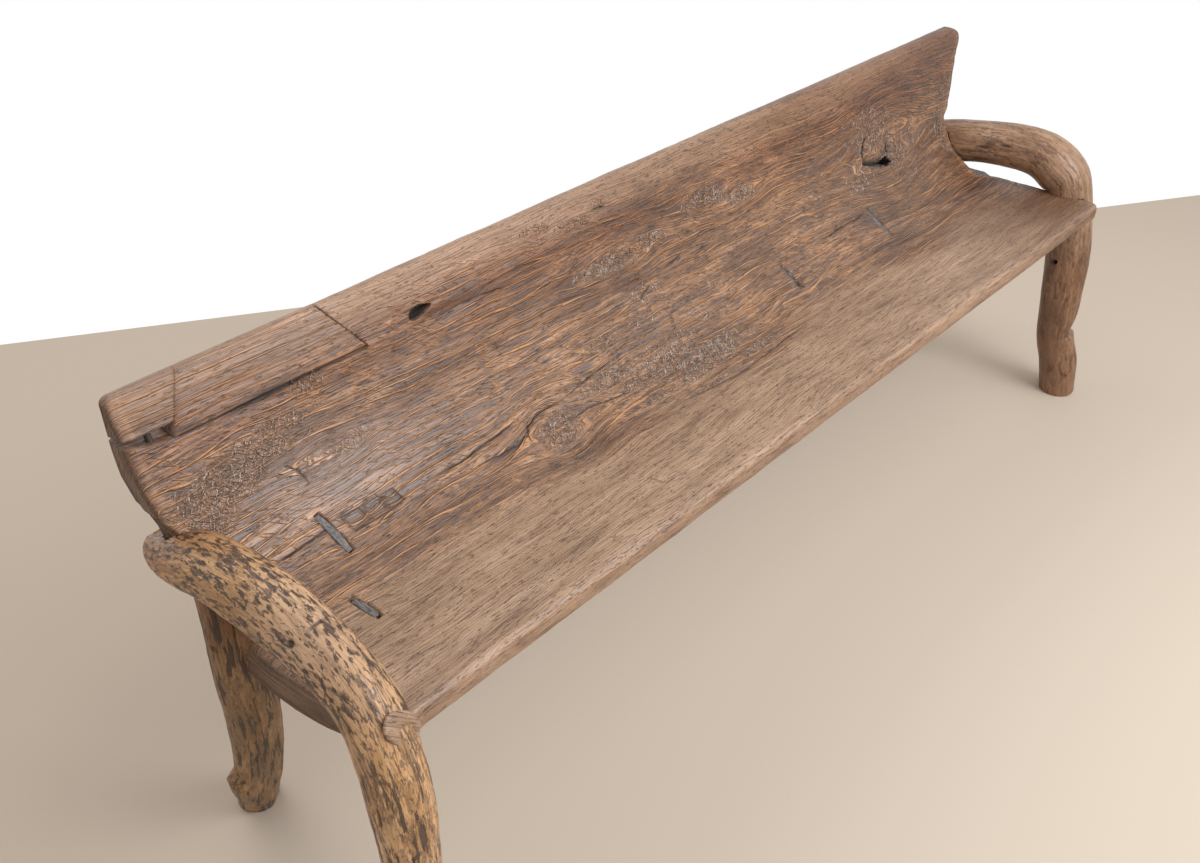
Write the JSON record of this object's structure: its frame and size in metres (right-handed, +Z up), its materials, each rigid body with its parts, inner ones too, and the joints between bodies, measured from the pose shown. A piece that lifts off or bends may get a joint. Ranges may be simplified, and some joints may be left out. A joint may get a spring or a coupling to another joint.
{
  "type": "wooden bench",
  "caption": "Rustic wooden bench: a hollowed log forms seat and back, held at its ends by bent branches that serve as arms and front legs, with splayed rear legs.",
  "frame": {"origin": "on the floor under the centre of the bench's bounding box", "axes": "+X along the bench, to the right for someone who faces it from the front; +Y from the seat's front edge to the back; +Z up"},
  "size_m": [1.8794, 0.4834, 0.7107],
  "materials": {
    "slab_wood": "weathered, grey-brown with raised orange-brown grain, worn smooth at the front",
    "patch_wood": "weathered, a little warmer than the slab, straight grain",
    "left_branch_wood": "barked branch, tan with many dark specks and pits",
    "right_branch_wood": "barked branch, smooth and dark brown",
    "key_wood": "grey weathered keys",
    "peg_wood": "dark end grain, recessed",
    "dowel_wood": "unfinished, hidden"
  },
  "bodies": {
    "root": {"seat_back_slab": "slab_wood", "back_end_patch": "patch_wood", "back_long_patch": "patch_wood", "patch_dowels": "dowel_wood", "left_arm_front_leg": "left_branch_wood", "right_arm_front_leg": "right_branch_wood", "left_rear_leg": "left_branch_wood", "right_rear_leg": "right_branch_wood", "left_long_key": "key_wood", "left_short_key": "key_wood", "right_long_key": "key_wood", "right_short_key": "key_wood", "left_rear_leg_peg": "peg_wood", "right_rear_leg_peg": "peg_wood", "left_arm_peg": "peg_wood", "right_arm_peg": "peg_wood", "left_corner_peg": "peg_wood"}
  },
  "joints": []
}
